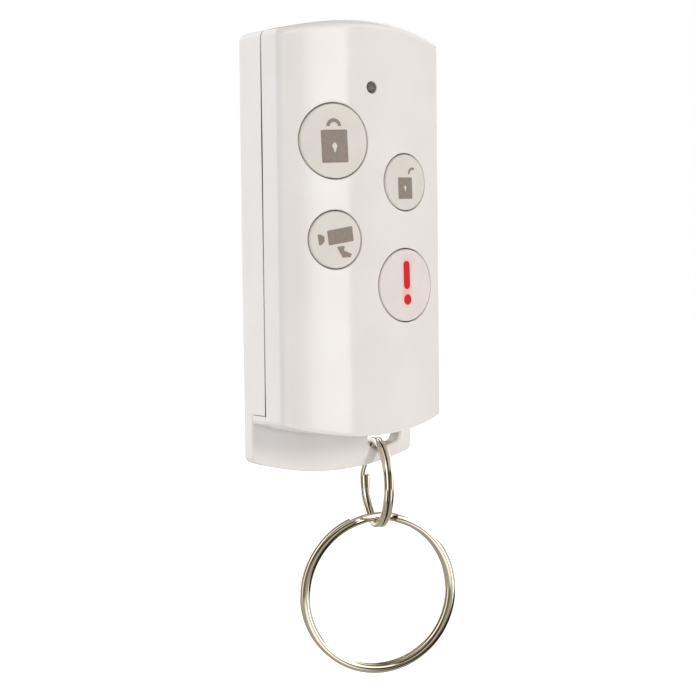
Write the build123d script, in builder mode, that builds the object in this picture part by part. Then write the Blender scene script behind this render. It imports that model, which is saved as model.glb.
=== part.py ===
from build123d import *
import os
from math import asin, cos, degrees, radians, sin, sqrt, tan

# Alarm key fob: a bowed two-shell housing with four push buttons over tactile switches, a circuit board with
# a coin cell behind it, and two split rings that hang from a slot in the chin.
# All sizes are in millimetres. X runs to the right as the buttons are read, Y to the back and Z up. The
# origin is on the flat back, level with the middle of the front cover. A height is a distance in front of
# the back, so the front of the housing is at Y = -housing_depth.

os.makedirs("parts", exist_ok=True)

# Housing
housing_width = 33.75
housing_depth = 15.44
bow_radius = 50.0
top_reach = 34.8
top_arc_radius = 62.0
cover_bottom_reach = 35.2
cover_arc_radius = 52.0
chin_drop = 6.74
chin_arc_radius = 53.6
chin_thickness = 3.54
parting_height = 7.515
draft_angle = 2.0
wall = 1.6
side_edge_radius = 1.5
corner_radius = 1.3
rear_edge_radius = 1.15
bottom_edge_radius = 0.6
chin_corner_radius = 1.2
chin_edge_radius = 0.35
inner_corner_radius = 0.5

# Joint between the two covers: a thin dark seam, and a rim on the rear cover inside the front cover's wall
seam_gap = 0.28
lip_thickness = 1.1
lip_clearance = 0.12
rim_inset = 0.8
rim_clearance = 0.1
rim_thickness = 0.7
rim_rise = 1.3
overrun = 1.0

# Buttons and their switches: columns and radii are shares of the housing's width, places shares of the reach
# of the front cover, above the origin of its top and below the origin of its bottom
button_column_share = 0.2157
large_button_share = 0.1881
small_button_share = 0.1464
lock_share = 0.41231
unlock_share = 0.2264
camera_share = -0.0548
panic_share = -0.2736
button_gap = 0.2
cap_rise = 0.12
cap_edge_radius = 0.35
cap_top_thickness = 1.4
cap_skirt_thickness = 1.2
cap_base_height = 10.8
flange_width = 0.9
flange_gap = 0.15
hole_edge_radius = 0.2
stem_radius = 1.5
switch_width = 6.0
switch_body_rise = 2.4
switch_plate_thickness = 0.25
switch_corner_radius = 0.4
switch_foot_width = 1.0
switch_foot_pitch = 4.0
switch_foot_reach = 0.9
switch_foot_thickness = 0.2
plunger_radius = 1.7
plunger_clearance = 0.1
plunger_rise = 3.9
plunger_depth = 1.7
plunger_edge_radius = 0.2
button_travel = 0.5

# Indicator: a light pipe from the light source on the board to the hole in the front cover
indicator_share = 0.67445
indicator_hole_radius = 1.01
indicator_clearance = 0.05
indicator_recess = 0.25
pipe_radius = 0.8
pipe_foot_radius = 1.5
pipe_foot_thickness = 0.8
pipe_collar_radius = 1.7
pipe_collar_thickness = 0.8
pipe_gap = 0.1
led_width = 3.0
led_base_thickness = 0.7
led_lens_radius = 1.1
led_lens_rise = 0.7
led_edge_radius = 0.25

# Circuit board and what it carries
board_rear_height = 6.3
board_thickness = 1.0
board_clearance = 0.35
board_corner_radius = 1.0
micro_width = 5.0
micro_thickness = 0.9
micro_column_share = -0.2222
micro_share = -0.398
radio_width = 4.0
radio_thickness = 0.85
radio_column_share = 0.2222
radio_share = -0.497
chip_edge_radius = 0.12
chip_corner_radius = 0.3
crystal_width = 3.2
crystal_length = 2.5
crystal_thickness = 0.7
crystal_share = -0.642
chip_part_length = 1.6
chip_part_width = 0.8
chip_part_thickness = 0.6
chip_part_pitch_x = 3.2
chip_part_pitch_z = 2.4
chip_part_rows = 5
chip_part_columns = 2
chip_part_share = -0.412
antenna_span = 20.0
antenna_share = 0.80463
antenna_rise = 2.0
antenna_wire_radius = 0.4
antenna_bend_radius = 0.9

# Coin cell, its holder and its contacts, behind the board
cell_radius = 10.0
cell_can_thickness = 2.9
cell_cap_radius = 8.8
cell_cap_thickness = 0.3
cell_edge_radius = 0.3
cell_place = 6.0
cell_height = 2.6
holder_clearance = 0.15
holder_wall = 1.25
holder_base_thickness = 0.3
holder_rear_gap = 0.3
holder_mouth_width = 9.0
pad_radius = 3.0
pad_clearance = 0.3
clip_width = 4.0
clip_thickness = 0.25
clip_clearance = 0.1

# Screw, bosses and posts that close the case on the board
screw_share = -0.767
screw_head_radius = 2.0
screw_head_thickness = 1.4
screw_head_recess = 0.5
screw_shank_radius = 0.9
screw_grip = 5.0
screw_clearance = 0.3
screw_slot_width = 0.5
screw_slot_length = 2.2
screw_slot_depth = 0.8
thread_clearance = 0.02
head_clearance = 0.25
front_boss_radius = 2.4
rear_boss_radius = 3.2
post_radius = 1.4
post_column_share = 0.3407
top_post_share = 0.7184
bottom_post_share = -0.682

# Moulded groove around the flat panel of the back
panel_width_share = 0.7111
panel_top_share = 0.83333
panel_bottom_share = -0.54
panel_corner_radius = 3.0
groove_width = 0.5
groove_depth = 0.25

# Key-ring slot in the chin
bar_height = 2.4
slot_height = 3.4
slot_left_share = 0.2222
slot_right_share = 0.4237
slot_edge_radius = 0.8

# Split rings: each is a flat wire wound twice round, side by side
ring_axis_depth = 1.5
coil_gap = 0.43
jog_angle = 35.0
jog_sections = 7
measured_step = 2
measured_apart = 90
small_ring_side_share = 0.30815
small_ring_drop = 3.11
small_ring_radius = 8.1
small_ring_radial = 0.95
small_ring_axial = 0.72
small_ring_turned = 20.0
small_ring_first_end = 87.0
large_ring_side_share = 0.3141
large_ring_drop = 20.0
large_ring_radius = 14.55
large_ring_radial = 1.45
large_ring_axial = 1.03
large_ring_turned = 18.5
large_ring_first_end = 14.0
wire_edge_share = 0.3

# Worked out from the sizes above
chin_reach = cover_bottom_reach + chin_drop
button_column = housing_width * button_column_share
large_button_radius = housing_width * large_button_share
small_button_radius = housing_width * small_button_share
lock_place = top_reach * lock_share
unlock_place = top_reach * unlock_share
camera_place = cover_bottom_reach * camera_share
panic_place = cover_bottom_reach * panic_share
indicator_place = top_reach * indicator_share
micro_column = housing_width * micro_column_share
micro_place = cover_bottom_reach * micro_share
radio_column = housing_width * radio_column_share
radio_place = cover_bottom_reach * radio_share
crystal_place = cover_bottom_reach * crystal_share
chip_part_place = cover_bottom_reach * chip_part_share
antenna_place = top_reach * antenna_share
screw_place = cover_bottom_reach * screw_share
post_column = housing_width * post_column_share
top_post_place = top_reach * top_post_share
bottom_post_place = cover_bottom_reach * bottom_post_share
panel_width = housing_width * panel_width_share
panel_top = top_reach * panel_top_share
panel_bottom = cover_bottom_reach * panel_bottom_share
slot_left = housing_width * slot_left_share
slot_right = housing_width * slot_right_share
small_ring_side = housing_width * small_ring_side_share
small_ring_place = -chin_reach - small_ring_drop
large_ring_side = housing_width * large_ring_side_share
board_front_height = board_rear_height + board_thickness
front_edge_height = parting_height + seam_gap / 2
rear_edge_height = parting_height - seam_gap / 2
lip_rear_height = chin_thickness + seam_gap / 2
chin_front_height = chin_thickness - seam_gap / 2
lip_inner_reach = cover_bottom_reach - lip_thickness
lip_inner_radius = cover_arc_radius - lip_thickness
tray_bottom_reach = lip_inner_reach - lip_clearance
tray_arc_radius = lip_inner_radius - lip_clearance
bow_centre = bow_radius - housing_depth
inner_bow_radius = bow_radius - wall
chin_centre = chin_arc_radius - chin_reach
bar_top_radius = chin_arc_radius - bar_height
slot_radius = bar_top_radius - slot_height / 2

buttons = (
    ("lock", -button_column, lock_place, large_button_radius),
    ("unlock", button_column, unlock_place, small_button_radius),
    ("camera", -button_column, camera_place, small_button_radius),
    ("panic", button_column, panic_place, large_button_radius),
)


def at_height(height):
    """Plane parallel to the back at a height in front of it, read with X to the right and Z up."""
    return Plane.XZ.offset(height)


def arched_face(width, top, bottom, top_radius, bottom_radius, top_corner, bottom_corner):
    """Face with straight sides and arched ends; an end falls by radius minus root(radius^2 - half^2)."""
    half = width / 2
    top_side = top - top_radius + sqrt(top_radius**2 - half**2)
    bottom_side = bottom_radius - bottom - sqrt(bottom_radius**2 - half**2)
    with BuildLine() as outline:
        ThreePointArc((-half, top_side), (0, top), (half, top_side))
        Line((half, top_side), (half, bottom_side))
        ThreePointArc((half, bottom_side), (0, -bottom), (-half, bottom_side))
        Line((-half, bottom_side), (-half, top_side))
    make_face(outline.edges())
    if bottom_corner > 0:
        fillet(vertices().sort_by(Axis.Y)[:2], bottom_corner)
    if top_corner > 0:
        fillet(vertices().sort_by(Axis.Y)[-2:], top_corner)


def inset_face(inset, bottom, bottom_radius, corner):
    """Arched face of the housing drawn in by an inset at its sides and top, with its own bottom arc."""
    arched_face(housing_width - 2 * inset, top_reach - inset, bottom, top_arc_radius - inset, bottom_radius,
                corner, corner)


def bow_profile(radius):
    """Circle of the bow seen from above, drawn on the horizontal plane."""
    with BuildSketch(Plane.XY) as profile:
        with Locations((0, bow_centre)):
            Circle(radius)
    return profile.sketch


def bowed_post(across, up, radius, base, bow):
    """Round post that stands from a height to the cylinder of the bow's axis with the given radius."""
    with BuildPart(mode=Mode.PRIVATE) as post:
        with BuildSketch(at_height(base)):
            with Locations((across, up)):
                Circle(radius)
        extrude(amount=housing_depth)
        extrude(bow_profile(bow), amount=top_reach + chin_reach, both=True, mode=Mode.INTERSECT)
    return post.part


def edges_in_front(face, height):
    """Edges of a face whose middles lie in front of a height."""
    return [edge for edge in face.edges() if edge.center().Y < -height - seam_gap / 4]


def finish(piece, name):
    """Label a piece and write it to its own file."""
    piece.label = name
    export_step(piece, f"parts/{name}.step")


# Hollow of the front cover: the outline drawn in by the wall, under the bow drawn in by the wall
with BuildPart() as front_hollow:
    with BuildSketch(at_height(front_edge_height)):
        inset_face(wall, cover_bottom_reach - wall, cover_arc_radius - wall, inner_corner_radius)
    extrude(amount=housing_depth)
    extrude(bow_profile(inner_bow_radius), amount=top_reach + chin_reach, both=True, mode=Mode.INTERSECT)

# Front cover: a drafted block under the bow, with a lower wall that reaches back to the chin
draft_growth = tan(radians(draft_angle)) * (parting_height - lip_rear_height)
with BuildPart() as front_cover:
    with BuildSketch(at_height(lip_rear_height)):
        arched_face(housing_width + 2 * draft_growth, top_reach + draft_growth,
                    cover_bottom_reach + draft_growth, top_arc_radius + draft_growth,
                    cover_arc_radius + draft_growth, 0, 0)
    extrude(amount=housing_depth + overrun - lip_rear_height)
    side_walls = faces().sort_by(Axis.Y)[1:-1]
    draft(side_walls, at_height(lip_rear_height), draft_angle)
    extrude(bow_profile(bow_radius), amount=top_reach + chin_reach, both=True, mode=Mode.INTERSECT)
    bow_edges = faces().sort_by(Axis.Y)[0].edges().sort_by(Axis.X)
    fillet([bow_edges[0], bow_edges[-1]], side_edge_radius)
    fillet(edges_in_front(faces().sort_by(Axis.Z)[-1], lip_rear_height), corner_radius)
    fillet(edges_in_front(faces().sort_by(Axis.Z)[0], lip_rear_height), bottom_edge_radius)
    with BuildSketch(at_height(lip_rear_height - overrun)):
        arched_face(housing_width + 2 * wall, top_reach + wall, lip_inner_reach, top_arc_radius,
                    lip_inner_radius, 0, 0)
    extrude(amount=front_edge_height - lip_rear_height + overrun, mode=Mode.SUBTRACT)
    add(front_hollow.part, mode=Mode.SUBTRACT)
    with BuildSketch(at_height(front_edge_height)):
        inset_face(rim_inset, lip_inner_reach, lip_inner_radius, inner_corner_radius)
    extrude(amount=rim_rise + rim_clearance, mode=Mode.SUBTRACT)
    for name, across, up, radius in buttons:
        with BuildSketch(at_height(cap_base_height)):
            with Locations((across, up)):
                Circle(radius)
        extrude(amount=housing_depth, mode=Mode.SUBTRACT)
    with BuildSketch(at_height(cap_base_height)):
        with Locations((0, indicator_place)):
            Circle(indicator_hole_radius)
    extrude(amount=housing_depth, mode=Mode.SUBTRACT)
    bow_face = faces().sort_by(Axis.Y)[0]
    fillet([edge for wire in bow_face.inner_wires() for edge in wire.edges()], hole_edge_radius)
    add(bowed_post(0, screw_place, front_boss_radius, board_front_height, bow_radius - wall / 2))
    with BuildSketch(at_height(board_front_height)):
        with Locations((0, screw_place)):
            Circle(screw_shank_radius + thread_clearance)
    extrude(amount=screw_grip, mode=Mode.SUBTRACT)
finish(front_cover.part, "front_cover")

# Rear cover: a tray with the chin plate below it, a rim that enters the front cover, posts and a boss for
# the board, a groove that frames the flat panel of the back, and the slot that carries the key ring
slot_start = degrees(asin((slot_left + slot_height / 2) / slot_radius))
slot_end = degrees(asin((slot_right - slot_height / 2) / slot_radius))
with BuildPart() as rear_cover:
    with BuildSketch(at_height(0)):
        arched_face(housing_width, top_reach, chin_reach, top_arc_radius, chin_arc_radius, corner_radius,
                    chin_corner_radius)
    extrude(amount=chin_front_height)
    fillet(faces().sort_by(Axis.Y)[-1].edges(), rear_edge_radius)
    chin_edges = faces().sort_by(Axis.Y)[0].edges().sort_by(Axis.Z)[:3]
    fillet(chin_edges, chin_edge_radius)
    with BuildSketch(at_height(rear_edge_radius)):
        arched_face(housing_width, top_reach, tray_bottom_reach, top_arc_radius, tray_arc_radius,
                    corner_radius, 0)
    extrude(amount=rear_edge_height - rear_edge_radius)
    with BuildSketch(at_height(rear_edge_height)):
        inset_face(rim_inset + rim_clearance, tray_bottom_reach, tray_arc_radius, inner_corner_radius)
    extrude(amount=rim_rise)
    with BuildSketch(at_height(wall)):
        inset_face(rim_inset + rim_clearance + rim_thickness, tray_bottom_reach - wall,
                   tray_arc_radius - wall, inner_corner_radius)
    extrude(amount=housing_depth, mode=Mode.SUBTRACT)
    with BuildSketch(at_height(0)):
        with BuildLine():
            slot_line = CenterArc((0, chin_centre), slot_radius, slot_start - 90, slot_end - slot_start)
        SlotArc(slot_line, slot_height)
    extrude(amount=chin_thickness, mode=Mode.SUBTRACT)
    back_face = faces().sort_by(Axis.Y)[-1]
    chin_face = faces().filter_by(Axis.Y).sort_by(Axis.Z)[0]
    slot_wires = back_face.inner_wires() + chin_face.inner_wires()
    fillet([edge for wire in slot_wires for edge in wire.edges()], slot_edge_radius)
    with BuildSketch(at_height(0)):
        with Locations((0, (panel_top + panel_bottom) / 2)):
            RectangleRounded(panel_width + 2 * groove_width, panel_top - panel_bottom + 2 * groove_width,
                             panel_corner_radius + groove_width)
            RectangleRounded(panel_width, panel_top - panel_bottom, panel_corner_radius, mode=Mode.SUBTRACT)
    extrude(amount=groove_depth, mode=Mode.SUBTRACT)
    with BuildSketch(at_height(wall)):
        with Locations((-post_column, top_post_place), (post_column, top_post_place),
                       (-post_column, bottom_post_place), (post_column, bottom_post_place)):
            Circle(post_radius)
        with Locations((0, screw_place)):
            Circle(rear_boss_radius)
    extrude(amount=board_rear_height - wall)
    with BuildSketch(at_height(0)):
        with Locations((0, screw_place)):
            Circle(screw_head_radius + head_clearance)
    extrude(amount=screw_head_recess + screw_head_thickness, mode=Mode.SUBTRACT)
    with BuildSketch(at_height(0)):
        with Locations((0, screw_place)):
            Circle(screw_shank_radius + screw_clearance)
    extrude(amount=board_rear_height, mode=Mode.SUBTRACT)
finish(rear_cover.part, "rear_cover")

# Button caps: a bowed top that fills its hole, a flange behind the wall and a stem that meets the plunger
plunger_top = board_front_height + plunger_rise
for name, across, up, radius in buttons:
    neck = bowed_post(across, up, radius - button_gap, cap_base_height, bow_radius + cap_rise)
    flange = bowed_post(across, up, radius + flange_width, cap_base_height, inner_bow_radius - flange_gap)
    pocket = bowed_post(across, up, radius - cap_skirt_thickness, cap_base_height,
                        bow_radius - cap_top_thickness)
    stem = bowed_post(across, up, stem_radius, plunger_top, bow_radius - cap_top_thickness / 2)
    with BuildPart() as cap:
        add(neck)
        fillet(faces().sort_by(Axis.Y)[0].edges(), cap_edge_radius)
        add(flange)
        add(pocket, mode=Mode.SUBTRACT)
        add(stem)
    finish(cap.part, f"{name}_button")

# Switches: a moulded body with four soldered feet and a well, and in it a plunger that rides with its cap
well_floor = plunger_top - plunger_depth - button_travel - plunger_clearance
for name, across, up, radius in buttons:
    with BuildPart() as switch:
        with BuildSketch(at_height(board_front_height)):
            with Locations((across, up)):
                RectangleRounded(switch_width, switch_width, switch_corner_radius)
        extrude(amount=switch_body_rise)
        with BuildSketch(at_height(board_front_height)):
            with Locations((across, up)):
                with GridLocations(switch_width + switch_foot_reach, switch_foot_pitch, 2, 2):
                    Rectangle(switch_foot_reach, switch_foot_width)
        extrude(amount=switch_foot_thickness)
        with BuildSketch(at_height(well_floor)):
            with Locations((across, up)):
                Circle(plunger_radius + plunger_clearance)
        extrude(amount=housing_depth, mode=Mode.SUBTRACT)
    finish(switch.part, f"{name}_switch")
    with BuildPart() as plunger:
        with BuildSketch(at_height(plunger_top - plunger_depth)):
            with Locations((across, up)):
                Circle(plunger_radius)
        extrude(amount=plunger_depth)
        fillet(faces().sort_by(Axis.Y)[0].edges(), plunger_edge_radius)
    finish(plunger.part, f"{name}_plunger")

# Switch plates: four pressed steel covers, each with the hole that its plunger stands through
with BuildPart() as switch_plates:
    with BuildSketch(at_height(board_front_height + switch_body_rise)):
        for name, across, up, radius in buttons:
            with Locations((across, up)):
                RectangleRounded(switch_width, switch_width, switch_corner_radius)
                Circle(plunger_radius + plunger_clearance, mode=Mode.SUBTRACT)
    extrude(amount=switch_plate_thickness)
finish(switch_plates.part, "switch_plates")

# Circuit board: it follows the tray's inside, with a hole for the screw
board_inset = rim_inset + rim_clearance + rim_thickness + board_clearance
with BuildPart() as circuit_board:
    with BuildSketch(at_height(board_rear_height)):
        inset_face(board_inset, tray_bottom_reach - wall - board_clearance,
                   tray_arc_radius - wall - board_clearance, board_corner_radius)
        with Locations((0, screw_place)):
            Circle(screw_shank_radius + screw_clearance, mode=Mode.SUBTRACT)
    extrude(amount=board_thickness)
finish(circuit_board.part, "circuit_board")

# Status light: a square base with a domed lens, under the light pipe
with BuildPart() as status_led:
    with BuildSketch(at_height(board_front_height)):
        with Locations((0, indicator_place)):
            RectangleRounded(led_width, led_width, led_edge_radius)
    extrude(amount=led_base_thickness)
    with BuildSketch(at_height(board_front_height + led_base_thickness)):
        with Locations((0, indicator_place)):
            Circle(led_lens_radius)
    extrude(amount=led_lens_rise)
    fillet(faces().sort_by(Axis.Y)[0].edges(), led_edge_radius)
finish(status_led.part, "status_led")

# Indicator lens: a turned light pipe with a foot over the light, a collar behind the wall and a flat tip
pipe_foot_height = board_front_height + led_base_thickness + led_lens_rise + pipe_gap
collar_top_height = bow_radius - wall - bow_centre - pipe_gap
with BuildPart() as indicator_lens:
    with BuildSketch(at_height(pipe_foot_height)):
        with Locations((0, indicator_place)):
            Circle(pipe_foot_radius)
    extrude(amount=pipe_foot_thickness)
    with BuildSketch(at_height(pipe_foot_height)):
        with Locations((0, indicator_place)):
            Circle(pipe_radius)
    extrude(amount=collar_top_height - pipe_foot_height)
    with BuildSketch(at_height(collar_top_height - pipe_collar_thickness)):
        with Locations((0, indicator_place)):
            Circle(pipe_collar_radius)
    extrude(amount=pipe_collar_thickness)
    with BuildSketch(at_height(collar_top_height)):
        with Locations((0, indicator_place)):
            Circle(indicator_hole_radius - indicator_clearance)
    extrude(amount=housing_depth - indicator_recess - collar_top_height)
finish(indicator_lens.part, "indicator_lens")


def board_chip(width, length, thickness, across, up):
    """Rectangular package on the front of the board, its corners rounded in plan."""
    with BuildPart(mode=Mode.PRIVATE) as chip:
        with BuildSketch(at_height(board_front_height)):
            with Locations((across, up)):
                RectangleRounded(width, length, chip_corner_radius)
        extrude(amount=thickness)
        fillet(faces().sort_by(Axis.Y)[0].edges(), chip_edge_radius)
    return chip.part


# Microcontroller, radio chip and crystal, each a package soldered flat on the board
microcontroller = board_chip(micro_width, micro_width, micro_thickness, micro_column, micro_place)
finish(microcontroller, "microcontroller")
radio_chip = board_chip(radio_width, radio_width, radio_thickness, radio_column, radio_place)
finish(radio_chip, "radio_chip")
crystal = board_chip(crystal_width, crystal_length, crystal_thickness, radio_column, crystal_place)
finish(crystal, "crystal")

# Board parts: rows of chip capacitors and resistors between the switches and the screw
with BuildPart() as board_parts:
    with BuildSketch(at_height(board_front_height)):
        with Locations((0, chip_part_place)):
            with GridLocations(chip_part_pitch_x, chip_part_pitch_z, chip_part_columns, chip_part_rows):
                Rectangle(chip_part_length, chip_part_width)
    extrude(amount=chip_part_thickness)
finish(board_parts.part, "board_parts")

# Antenna: a bent wire bridge across the top of the board, its two legs standing on the board
antenna_height = board_front_height + antenna_rise
with BuildPart() as antenna:
    with BuildLine(Plane.XY.offset(antenna_place)):
        antenna_line = FilletPolyline(
            (-antenna_span / 2, -board_front_height), (-antenna_span / 2, -antenna_height),
            (antenna_span / 2, -antenna_height), (antenna_span / 2, -board_front_height),
            radius=antenna_bend_radius)
    with BuildSketch(Plane(origin=antenna_line @ 0, z_dir=antenna_line % 0)):
        Circle(antenna_wire_radius)
    sweep()
finish(antenna.part, "antenna")

# Coin cell: a can with its edges rolled over and the smaller cap of its negative side towards the board
with BuildPart() as coin_cell:
    with BuildSketch(at_height(cell_height)):
        with Locations((0, cell_place)):
            Circle(cell_radius)
    extrude(amount=cell_can_thickness)
    fillet(edges(), cell_edge_radius)
    with BuildSketch(at_height(cell_height + cell_can_thickness)):
        with Locations((0, cell_place)):
            Circle(cell_cap_radius)
    extrude(amount=cell_cap_thickness)
finish(coin_cell.part, "coin_cell")

# Cell holder: a moulded ring on a thin base against the board, open at one side for the cell to slide out
cell_front_height = cell_height + cell_can_thickness + cell_cap_thickness
holder_base_height = board_rear_height - holder_base_thickness
holder_radius = cell_radius + holder_clearance + holder_wall
with BuildPart() as cell_holder:
    with BuildSketch(at_height(cell_height + holder_rear_gap)):
        with Locations((0, cell_place)):
            Circle(holder_radius)
    extrude(amount=board_rear_height - cell_height - holder_rear_gap)
    with BuildSketch(at_height(cell_height)):
        with Locations((0, cell_place)):
            Circle(cell_radius + holder_clearance)
    extrude(amount=holder_base_height - cell_height, mode=Mode.SUBTRACT)
    with BuildSketch(at_height(cell_height)):
        with Locations((0, cell_place + holder_radius)):
            Rectangle(holder_mouth_width, holder_radius)
    extrude(amount=holder_base_height - cell_height, mode=Mode.SUBTRACT)
    with BuildSketch(at_height(holder_base_height)):
        with Locations((0, cell_place)):
            Circle(pad_radius + pad_clearance)
    extrude(amount=holder_base_thickness, mode=Mode.SUBTRACT)
finish(cell_holder.part, "cell_holder")

# Negative contact: a round pad from the board to the cell, through the hole in the holder's base
with BuildPart() as cell_pad:
    with BuildSketch(at_height(cell_front_height)):
        with Locations((0, cell_place)):
            Circle(pad_radius)
    extrude(amount=board_rear_height - cell_front_height)
finish(cell_pad.part, "cell_pad")

# Positive contact: a spring strap bent over the back of the cell, its legs down to the board
clip_span = 2 * (holder_radius + clip_clearance)
clip_rear_height = cell_height - clip_thickness
with BuildPart() as cell_clip:
    with BuildSketch(Plane.XY.offset(cell_place - clip_width / 2)):
        with Locations((0, -(clip_rear_height + board_rear_height) / 2)):
            Rectangle(clip_span + 2 * clip_thickness, board_rear_height - clip_rear_height)
        with Locations((0, -(cell_height + board_rear_height) / 2)):
            Rectangle(clip_span, board_rear_height - cell_height, mode=Mode.SUBTRACT)
    extrude(amount=clip_width)
finish(cell_clip.part, "cell_clip")

# Cover screw: a self-tapping screw through the rear boss and the board into the front boss
head_rear_height = screw_head_recess
head_front_height = screw_head_recess + screw_head_thickness
with BuildPart() as cover_screw:
    with BuildSketch(at_height(head_rear_height)):
        with Locations((0, screw_place)):
            Circle(screw_head_radius)
    extrude(amount=screw_head_thickness)
    fillet(faces().sort_by(Axis.Y)[-1].edges(), chin_edge_radius)
    with BuildSketch(at_height(head_front_height)):
        with Locations((0, screw_place)):
            Circle(screw_shank_radius)
    extrude(amount=board_front_height + screw_grip - screw_clearance - head_front_height)
    with BuildSketch(at_height(head_rear_height)):
        with Locations((0, screw_place)):
            Rectangle(screw_slot_length, screw_slot_width)
            Rectangle(screw_slot_width, screw_slot_length)
    extrude(amount=screw_slot_depth, mode=Mode.SUBTRACT)
finish(cover_screw.part, "cover_screw")


def split_ring(centre, side, outer_radius, radial, axial, first_end):
    """Flat wire wound twice round, its turns side by side; angles run from the top towards the side.

    Each turn is an arc of 360 - jog degrees at half the pitch from the middle plane. Between them the wire
    crosses over along the jog, by the smooth step 3t^2 - 2t^3 of the pitch. The least gap of the wire to
    itself is measured on points of its middle line and printed.
    """
    up = Vector(0, 0, 1)
    normal = side.cross(up)
    mean_radius = outer_radius - radial / 2
    pitch = axial + coil_gap
    turn = 360 - jog_angle

    def middle(angle, shift):
        outward = up * cos(radians(angle)) + side * sin(radians(angle))
        return centre + outward * mean_radius + normal * shift

    def section_plane(angle, shift):
        outward = up * cos(radians(angle)) + side * sin(radians(angle))
        along = side * cos(radians(angle)) - up * sin(radians(angle))
        return Plane(origin=middle(angle, shift), x_dir=outward, z_dir=along)

    def jog_shift(share):
        return pitch * (1 / 2 - share**2 * (3 - 2 * share))

    edge_radius = wire_edge_share * min(radial, axial)
    with BuildPart(mode=Mode.PRIVATE) as ring:
        for shift in (pitch / 2, -pitch / 2):
            with BuildSketch(section_plane(first_end, shift)):
                RectangleRounded(radial, axial, edge_radius)
            revolve(axis=Axis(centre, -normal), revolution_arc=turn)
        for step in range(jog_sections):
            share = step / (jog_sections - 1)
            with BuildSketch(section_plane(first_end + turn + jog_angle * share, jog_shift(share))):
                RectangleRounded(radial, axial, edge_radius)
        loft()

    points = []
    for angle in range(0, 360 + int(turn), measured_step):
        share = min(max((angle - turn) / jog_angle, 0), 1)
        points.append(middle(first_end + angle, jog_shift(share)))
    apart = measured_apart // measured_step
    least = min((first - second).length for place, first in enumerate(points)
                for second in points[place + apart:])
    print("least gap of the wire to itself", round(least - axial, 3))
    return ring.part


# Small split ring: through the slot, its plane nearly square to the chin
small_ring_turn = radians(small_ring_turned)
small_side = Vector(sin(small_ring_turn), cos(small_ring_turn), 0)
small_centre = Vector(small_ring_side, -ring_axis_depth, small_ring_place)
finish(split_ring(small_centre, small_side, small_ring_radius, small_ring_radial, small_ring_axial,
                  small_ring_first_end), "small_split_ring")

# Large split ring: hangs on the small one, its plane square to it
large_ring_turn = radians(large_ring_turned)
large_side = Vector(cos(large_ring_turn), -sin(large_ring_turn), 0)
large_centre = Vector(large_ring_side, -ring_axis_depth, small_ring_place - large_ring_drop)
finish(split_ring(large_centre, large_side, large_ring_radius, large_ring_radial, large_ring_axial,
                  large_ring_first_end), "large_split_ring")
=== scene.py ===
from math import cos, exp, pi, radians, sin

import bmesh
import bpy
import numpy as np
from mathutils import Matrix, Vector


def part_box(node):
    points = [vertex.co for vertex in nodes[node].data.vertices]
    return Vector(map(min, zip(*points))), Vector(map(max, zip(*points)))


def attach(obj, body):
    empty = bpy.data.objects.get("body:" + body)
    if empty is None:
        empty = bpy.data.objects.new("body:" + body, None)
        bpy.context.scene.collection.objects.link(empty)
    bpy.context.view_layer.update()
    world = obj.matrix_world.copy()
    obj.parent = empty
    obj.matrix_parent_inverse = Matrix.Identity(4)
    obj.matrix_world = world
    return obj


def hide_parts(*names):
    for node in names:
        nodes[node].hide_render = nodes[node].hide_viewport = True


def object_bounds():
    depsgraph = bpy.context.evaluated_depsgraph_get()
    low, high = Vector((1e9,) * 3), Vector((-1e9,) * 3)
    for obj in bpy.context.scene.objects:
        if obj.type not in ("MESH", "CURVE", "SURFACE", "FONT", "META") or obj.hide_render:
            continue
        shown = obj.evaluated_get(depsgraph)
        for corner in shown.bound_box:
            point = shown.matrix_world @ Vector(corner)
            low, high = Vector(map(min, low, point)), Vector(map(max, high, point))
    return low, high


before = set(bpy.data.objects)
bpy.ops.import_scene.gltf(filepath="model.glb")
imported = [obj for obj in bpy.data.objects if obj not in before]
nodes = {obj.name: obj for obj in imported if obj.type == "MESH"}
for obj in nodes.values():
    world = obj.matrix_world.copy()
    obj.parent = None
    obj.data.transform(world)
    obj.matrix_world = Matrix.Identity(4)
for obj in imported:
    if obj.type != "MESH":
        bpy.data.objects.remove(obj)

# Looks of the alarm key fob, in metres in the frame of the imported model: X to the right as the buttons are
# read, Y to the back and Z up, with Y = 0 on the flat back of the housing.
box_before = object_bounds()

# Covers: the front and rear shells, injection moulded in gloss white ABS and closed by a screw from behind.
# The polished mould leaves a deep gloss with a faint waviness. Shade is painted as a dark thread in the seam
# between them, most of it beside the upper buttons, and painted shade greys the inside of the small ring's
# slot.
cover_tint_grain = 0.009
cover_gloss_grain = 0.003
cover_roughness = (0.07, 0.13)
cover_wave_length = 0.0009
cover_wave_depth = 0.0000012
noise_middle = (0.3, 0.7)
noise_whole = (0.0, 1.0)
seam_height = 0.007515
seam_half_width = 0.00017
seam_fade = 0.00004
seam_reach = 0.034
# Each pair is a height and the share of painted shade in the seam there.
seam_shade_levels = (
    (-seam_reach, 0.0), (-0.0314, 0.0), (-0.0312, 0.7), (-0.030, 0.6), (-0.025, 0.25), (-0.018, 0.12),
    (-0.008, 0.2), (-0.002, 0.35), (0.001, 0.5), (0.007, 0.6), (0.012, 1.0), (0.015, 1.0), (0.018, 0.75),
    (0.027, 0.45), (0.0315, 0.1), (seam_reach, 0.0))
slot_middle = (0.011, -0.00165, -0.0383)
slot_half_size = (0.0036, 0.00135, 0.0021)
# Painted shade in the slot fades out between these shares of its half size.
slot_shade_start = 0.95
slot_shade_end = 1.02
slot_shade_strength = 0.75


def linear(hex_colour):
    """Linear RGBA of a hex sRGB colour: c / 12.92 when dark, else ((c + 0.055) / 1.055) ^ 2.4."""
    channels = [int(hex_colour[place:place + 2], 16) / 255 for place in (0, 2, 4)]
    return [c / 12.92 if c <= 0.04045 else ((c + 0.055) / 1.055) ** 2.4 for c in channels] + [1.0]


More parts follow.
